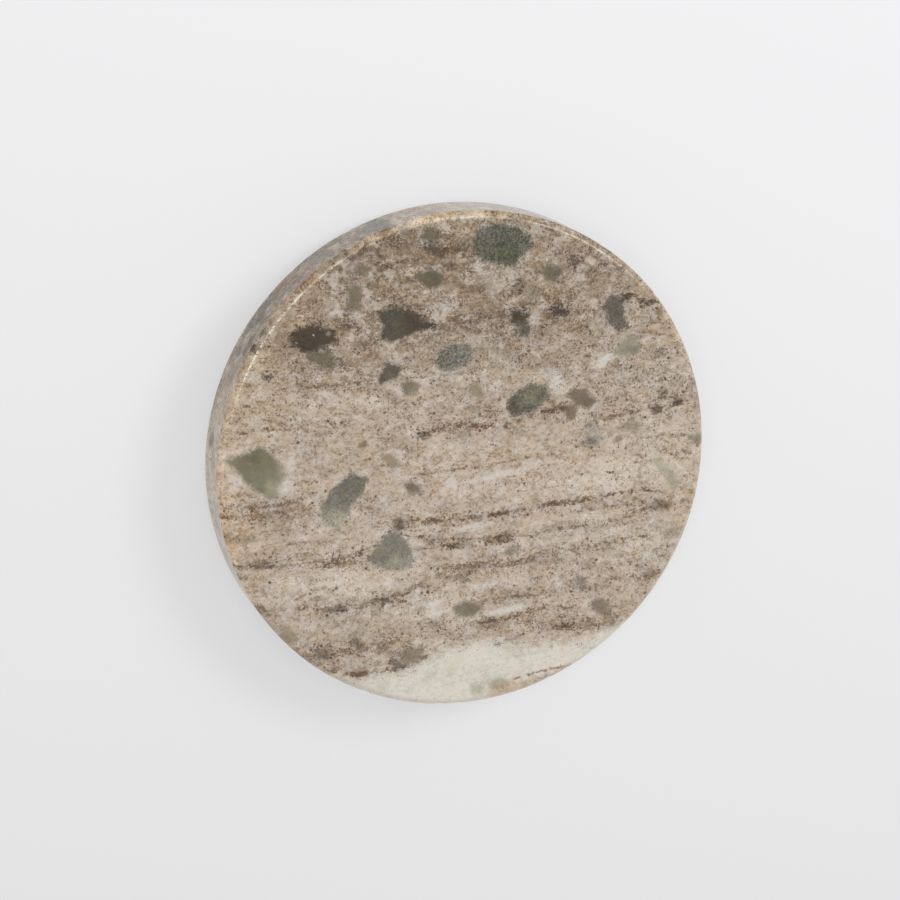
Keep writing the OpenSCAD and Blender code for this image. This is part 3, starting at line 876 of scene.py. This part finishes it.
def stoneMaterial():
    f = stoneFinish
    material = startNodes(bpy.data.materials.new("beddedStone"))
    point = scaled(objectPoint(), (1 / mm,) * 3)
    bent = wandering(point, 0.45, f["bending"])
    bedded = scaled(bent, (0.62, 1.0, 0.62))  # drawn out along the beds
    grainy = scaled(bent, (0.88, 1.0, 0.88))
    crystals = channels(cellsAt(grainy, f["crystals"]))
    specks = channels(cellsAt(grainy, f["specks"]))
    hue = channels(noiseAt(bedded, 0.42, 2, 0.6))
    broad = noiseAt(bedded, 0.24, 3, 0.95)
    cloudy = noiseAt(grainy, 1.1, 2, 0.9)
    wisps = noiseAt(grainy, 0.7, 4, 0.7)
    cloud, polish, bevel = reads("cloud"), reads("polish"), reads("bevel")
    onRim = calc("SUBTRACT", polish, bevel, clamp=True)

    # ground: soft mottling of every size, and crystals that are each a little lighter or darker
    tone = (swing(broad, f["broadSwing"]) + swing(cloudy, f["cloudySwing"])
            + swing(crystals[0], f["crystalSwing"]) + swing(specks[0], f["speckSwing"]))
    tone = tone + calc("MINIMUM", tone, 0.0) * f["darkerTail"] + calc("MAXIMUM", tone, 0.0) * f["palerTail"]
    tone = tone * (onRim * f["rimContrast"] + 1.0)
    shade = joined(scaled(tone, f["swingTint"]), (f["level"],) * 3)
    colour = tinted(reads("ground", "Color"), shade)
    colour = blend(fade(hue[0], 0.47, 0.68, top=f["warmShare"]), colour, tinted(f["warmGrain"], shade))
    colour = blend(fade(hue[1], 0.5, 0.7, top=f["coolShare"]), colour, tinted(f["coolGrain"], shade))
    colour = blend(fade(tone, 0.2, 0.42, top=f["paleShare"]), colour, f["paleGrain"])

    # pale quartz in soft patches everywhere, and the larger milky patches
    quartz = fade(noiseAt(grainy, f["quartzSize"], 2, 0.65), 0.49, 0.68)
    milk = fade(cloud + swing(wisps, 1.3), 0.02, 1.0, top=f["milkShare"])
    faint = tone * 0.6 + 1.0
    colour = blend(quartz * f["quartzShare"], colour, tinted(f["quartz"], faint))
    colour = blend(milk, colour, tinted(f["milk"], faint))

    # seams: thin wandering threads that swell and break off
    pepper = noiseAt(grainy, f["pepperSize"], 2, 0.7) + swing(specks[1], 0.1)
    threads = noiseAt(scaled(point, (0.66, 1.1, 0.66)), 1.2, 3, 0.7)
    swell = noiseAt(scaled(point, (0.7, 1.0, 0.7)), 0.8, 2, 0.7)
    cores = []
    for number in range(chance["seamLayers"]):
        offset = calc("ABSOLUTE", reads("seamOffset" + str(number)) + swing(threads, 4.0))
        cores.append(fade(offset + swing(pepper, -5.0), 1.7, 0.2) * reads("seamLeft" + str(number)))
    seam = calc("MULTIPLY", largest(*cores), spread(swell, 0.36, 0.6, 0.1, 1.3), clamp=True)

    # dark grains: scattered, thicker in the bands and between the quartz, and along the seams
    clumps = noiseAt(bedded, 0.5, 3, 0.75)
    crowd = seam * f["seamCrowd"] + reads("darkGrains") * spread(clumps, 0.3, 0.7, -0.2, 2.3)
    crowd = crowd * (largest(milk, quartz) * -0.75 + 1.0)
    dark = fade(pepper - spread(crowd, 0.0, 1.0, 0.7, 0.42), -0.04, 0.05, top=f["pepperShare"])
    crumbled = wandering(point, 3.2, 0.42)
    for size, share in f["grains"]:
        cells = cellsAt(crumbled, size)
        draw = channels(cells)
        chosen = fade(crowd * share - draw[0], -0.02, 0.04)
        shape = fade(spread(draw[1], 0.0, 1.0, 0.3, 0.62) - cells, -0.06, 0.14)
        dark = largest(dark, chosen * shape)
    darkTone = blend(fade(hue[2], 0.62, 0.36), f["darkGrain"], f["darkGrainWarm"])
    darkTone = blend(fade(specks[2], 0.86, 0.94), darkTone, f["rustGrain"])
    colour = blend(dark * f["darkShare"] * spread(hue[2], 0.35, 0.65, 0.62, 1.0), colour, darkTone)
    seamTone = blend(fade(hue[0], 0.36, 0.56), f["seamTone"], f["seamToneWarm"])
    colour = blend(seam * f["seamShare"], colour, seamTone)

    # the cream bed along the lower side, with flecks of the brown stone crossing its edge
    shore = reads("creamShore") + swing(noiseAt(grainy, 0.5, 4, 0.75), 5.5)
    creamHue = channels(noiseAt(point, 0.2, 3, 0.7))
    cream = blend(fade(creamHue[0], 0.47, 0.7), f["cream"], f["creamShade"])
    cream = blend(fade(creamHue[1], 0.52, 0.72, top=0.5), cream, f["creamBlush"])
    cream = tinted(cream, tone * 0.3 + 1.0)
    fleck = pepper - (fade(shore, -5.0, 0.0) * -0.12 + 0.76)
    cream = blend(fade(fleck, -0.05, 0.07, top=0.75), cream, f["darkGrainWarm"])
    cream = blend(seam * 0.75, cream, f["rustGrain"])
    colour = blend(fade(shore, 2.0, -1.9), colour, cream)

    # fragments, with soft crumbled edges, a pale hem around them and grain inside
    grain, share = reads("fragmentGrain"), reads("fragmentTint", "Alpha")
    crumble = swing(noiseAt(point, 2.2, 3, 0.8), 2.4) * spread(grain, 0.1, 1.6, 0.7, 1.5)
    edge = reads("fragmentEdge") + (swing(noiseAt(point, 0.6, 2, 0.6), 1.5) + crumble)
    hem = fade(edge, 2.0, 0.6) * fade(wisps, 0.46, 0.66, top=f["hem"])
    colour = blend(hem * share, colour, f["milk"])
    outer = spread(grain, 0.1, 0.7, 0.9, 0.75)
    inner = spread(grain, 0.1, 0.7, -0.6, -0.3)  # smooth fragments have the softer edges
    inside = fade(edge, outer, inner) * share
    grit = (swing(noiseAt(point, 2.6, 3, 0.85), 3.0) + swing(crystals[1], 0.55)) * grain
    lump = noiseAt(point, 0.4, 2, 0.6) - 0.5
    fragment = tinted(reads("fragmentTint", "Color"), largest(grit + lump + 1.0, 0.45))
    patch = fade(noiseAt(point, 0.3, 3, 0.6), 0.4, 0.62)
    colour = blend(inside, colour, tinted(fragment, blend(patch, *f["patchTints"])))

    # stains, ragged and broken into grains, and a milky veil over all
    ragged = swing(noiseAt(grainy, 1.0, 3, 0.8), 2.4) + dark * -0.8
    stained = fade(reads("stainEdge") + ragged, 0.75, -0.65) * reads("stainTint", "Alpha")
    colour = blend(stained, colour, tinted(reads("stainTint", "Color"), tone * 1.2 + 1.0))
    colour = blend(fade(cloud + (wisps - 0.5), 0.3, 1.1, top=f["veilShare"]), colour, f["milk"])

    # the polished rim looks deeper than the honed face, the bevel warmer, and its inner edge carries a painted
    # highlight, partly pale worn stone
    colour = blend(onRim, colour, tinted(colour, f["rimTint"]))
    colour = blend(bevel * spread(broad, 0.35, 0.65, 0.55, 1.0), colour, tinted(colour, f["bevelTint"]))
    colour = blend(reads("paintedHighlightAndWear") * fade(cloudy, 0.41, 0.54, 0.12, 1.0), colour, f["highlightAndWearTone"])

    # painted glints: a few crystal faces painted pale, as if they caught the light
    paintedGlint = fade(crystals[2], 0.975, 0.99) * fade(specks[1], 0.7, 0.85) * (inside * -0.8 + 1.0)
    colour = blend(paintedGlint * f["paintedGlint"], colour, f["paintedGlintTone"])

    rough = spread(polish, 0.0, 1.0, *f["roughness"]) + swing(cloudy, f["roughSwing"])
    rough = calc("MULTIPLY_ADD", paintedGlint, -0.25, rough, clamp=True)
    relief = (dark * -0.5 + tone) * spread(polish, 0.0, 1.0, 1.0, 0.2)
    bump = made("Bump", f["bump"], f["bumpDepth"], named={"Height": relief})
    addNode("OutputMaterial", made("BsdfPrincipled", colour, named={
        "Roughness": rough, "Normal": bump, "IOR": f["ior"]}))
    return material


stone = makeStone()
layPattern(stone)
stone.data.materials.append(stoneMaterial())
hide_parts("stone_disc")
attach(stone, "root")
print("stone finished")


# feet and adhesive discs

footFinish = dict(
    name="clearPolyurethane",
    texture=(noiseAt, 900, 3, 0.6),  # faint clouds, 900 to a metre
    tones=(linear(222, 226, 222), linear(205, 209, 203)),
    toneRange=(0.35, 0.7),
    roughness=(0.3, 0.7, 0.22, 0.38),
    transmission=0.55,
)

adhesiveFinish = dict(
    name="acrylicAdhesive",
    texture=(cellsAt, 1800),  # fine bubbles
    tones=(linear(232, 226, 210), linear(214, 207, 190)),
    toneRange=(0.2, 0.5),
    roughness=(0.0, 0.6, 0.35, 0.6),
    transmission=0.0,
)


def clearMaterial(f):
    material = startNodes(bpy.data.materials.new(f["name"]))
    texture, *sizes = f["texture"]
    mottle = texture(objectPoint(), *sizes)
    addNode("OutputMaterial", made("BsdfPrincipled", blend(fade(mottle, *f["toneRange"]), *f["tones"]), named={
        "Roughness": spread(mottle, *f["roughness"]), "Transmission Weight": f["transmission"], "IOR": 1.5}))
    return material


for start, finish in (("bumper_foot", footFinish), ("adhesive_disc", adhesiveFinish)):
    look = clearMaterial(finish)
    for name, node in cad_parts.items():
        if name.startswith(start):
            node.data.materials.clear()
            node.data.materials.append(look)
print("feet finished")


# stage, light and camera

stageSet = dict(
    floorSize=6.0,
    upperTone=(0.89, 0.89, 0.903),  # painted light falloff: floor as the camera sees it, lighter above the coaster
    lowerTone=(0.783, 0.783, 0.79),  # and darker below it
    tilt=0.3,  # how far the change leans to the right
    gradient=0.13,  # half of the stretch over which the tone changes, m
    shadowShare=0.44,  # share of the real shadow that stays on the floor
    bounceTone=(0.8, 0.8, 0.8),  # the floor as the coaster sees it
)


def makeFloor():
    s = stageSet
    floor = newPiece("paleFloor", bpy.ops.mesh.primitive_plane_add, size=s["floorSize"],
                     location=(0, 0, cadBox[0].z))
    floor.data.materials.append(startNodes(bpy.data.materials.new("paleFloor")))
    axes = addNode("SeparateXYZ", objectPoint())
    # painted light falloff: the floor's tone for the camera grows lighter upwards and to the right
    height = Value(axes, "X") * s["tilt"] + Value(axes, "Y")
    tone = blend(spread(height, -s["gradient"], s["gradient"]), s["lowerTone"], s["upperTone"])
    seen = made("MixShader", s["shadowShare"], made("Emission", tone), made("BsdfDiffuse", tone))
    mixed = made("MixShader", seenDirectly(), made("BsdfDiffuse", s["bounceTone"]), seen)
    # from underneath the floor can be seen through, so that the feet can be looked at
    beneath = Value(addNode("NewGeometry"), "Backfacing")
    addNode("OutputMaterial", made("MixShader", beneath, mixed, made("BsdfTransparent")))


lightSet = dict(
    skyStrength=0.56,
    lamps=[  # name, place, width and length in metres, power in watts, direction of its length
        ("key", (0.85, 0.55, 0.92), 0.5, 0.5, 6.8, (1, 0, 0)),
        ("strip", (-0.34, 0.27, 0.88), 0.1, 0.62, 2.1, (0.62, 0.72, 0)),
    ],
)


def putInScene(name, data, place, right, up, back):
    holder = bpy.data.objects.new(name, data)
    bpy.context.scene.collection.objects.link(holder)
    holder.matrix_world = Matrix.Translation(place) @ Matrix((right, up, back)).transposed().to_4x4()
    return holder


def makeLights():
    s = lightSet
    world = startNodes(bpy.data.worlds.new("paleStudio"))
    bpy.context.scene.world = world
    sky = made("Background", (1, 1, 1), s["skyStrength"])
    wall = made("Background", stageSet["upperTone"], 1.0)
    addNode("OutputWorld", made("MixShader", seenDirectly(), sky, wall))
    for name, place, width, length, power, along in s["lamps"]:
        lamp = bpy.data.lights.new(name + "Light", "AREA")
        lamp.shape = "RECTANGLE"
        lamp.size = length
        lamp.size_y = width
        lamp.energy = power
        away = Vector(place).normalized()
        side = (Vector(along) - away * Vector(along).dot(away)).normalized()
        putInScene(name + "Light", lamp, Vector(place), side, away.cross(side), away)


cameraSet = dict(
    turn=17.8,  # degrees that the disc is turned from facing the camera
    rise=15.3,  # degrees that the camera stands above the middle of the disc
    aim=(-3.64, 3.07),  # point of the face at the middle of the picture, mm
    distance=542.2,  # mm from that point
    lens=111.3,
    sensor=36.0,
)


def makeCamera():
    s = cameraSet
    turn, rise = math.radians(s["turn"]), math.radians(s["rise"])
    ahead = Vector((math.sin(turn) * math.cos(rise), -math.sin(rise), -math.cos(turn) * math.cos(rise)))
    right = Vector((math.cos(turn), 0, math.sin(turn)))
    data = bpy.data.cameras.new("photoView")
    data.lens = s["lens"]
    data.sensor_width = s["sensor"]
    data.dof.use_dof = False
    data.clip_start = 0.01
    place = Vector((s["aim"][0] * mm, s["aim"][1] * mm, stoneHigh.z)) - ahead * s["distance"] * mm
    bpy.context.scene.camera = putInScene("photoView", data, place, right, right.cross(ahead), -ahead)


makeFloor()
makeLights()
makeCamera()
bpy.context.scene.view_settings.view_transform = "Standard"
print("stage, light and camera set")
